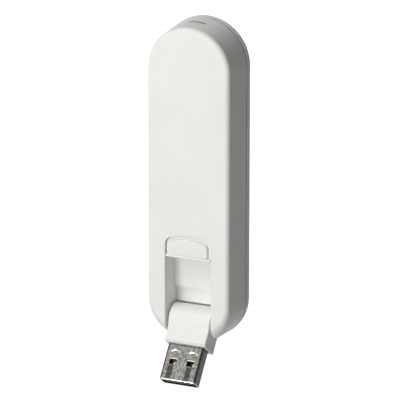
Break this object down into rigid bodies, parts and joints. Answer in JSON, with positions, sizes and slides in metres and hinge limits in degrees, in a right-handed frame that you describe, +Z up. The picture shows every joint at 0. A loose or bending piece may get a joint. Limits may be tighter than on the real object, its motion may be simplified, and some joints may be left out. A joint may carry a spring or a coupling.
{
  "type": "usb signal repeater",
  "caption": "Round-ended plastic stick that relays a wireless signal, with a USB plug that folds into a bay in its front and a press pad above the bay.",
  "frame": {"origin": "centre of the USB plug's metal shell where it leaves the carrier block, the face that meets a port", "axes": "+Z up the stick, +X to the right seen from the front, -Y out of the front face; the plug points down and 37 degrees forward"},
  "size_m": [0.029, 0.0229, 0.1142],
  "materials": {
    "housing_white": "fine satin moulding",
    "cover_white": "fine satin moulding",
    "pad_white": "fine satin moulding",
    "guide_smoked": "smoked moulding, polished",
    "board_green": "solder mask",
    "module_green": "solder mask",
    "shield_tin": "dull tinned sheet",
    "chip_black": "moulded package",
    "trace_copper": "etched copper",
    "led_body": "clear cast body",
    "switch_black": "moulded package",
    "plunger_black": "moulded",
    "crystal_can": "plated can",
    "regulator_black": "moulded package",
    "choke_grey": "pressed ferrite",
    "capacitor_tan": "fired body",
    "header_white": "moulded",
    "lead_red": "insulated wire",
    "lead_black": "insulated wire",
    "carrier_white": "fine satin moulding",
    "plug_steel": "plated steel, handled",
    "tongue_black": "moulded",
    "contact_gold": "gold plated"
  },
  "bodies": {
    "plug": {"carrier_front": "carrier_white", "carrier_rear": "carrier_white", "usb_shell": "plug_steel", "usb_tongue": "tongue_black", "power_contacts": "contact_gold", "data_contacts": "contact_gold"},
    "housing": {"front_shell": "housing_white", "rear_cover": "cover_white", "light_guide": "guide_smoked", "main_board": "board_green", "radio_module": "module_green", "radio_shield": "shield_tin", "radio_chip": "chip_black", "antenna_trace": "trace_copper", "status_led": "led_body", "switch_body": "switch_black", "switch_plunger": "plunger_black", "crystal": "crystal_can", "voltage_regulator": "regulator_black", "choke": "choke_grey", "capacitors": "capacitor_tan", "lead_header": "header_white", "lead_positive": "lead_red", "lead_negative": "lead_black"},
    "pad": {"press_pad": "pad_white"}
  },
  "joints": [
    {"name": "fold", "type": "hinge", "parent": "plug", "child": "housing", "pos_m": [0, 0.0045, 0.00788], "axis": [1, 0, 0], "range_deg": [-37, 143]},
    {"name": "pad_press", "type": "slide", "parent": "housing", "child": "pad", "axis": [0, 1, 0], "range_m": [0, 0.0005], "stiffness_N_per_m": 1500, "springref_m": -0.0004}
  ]
}
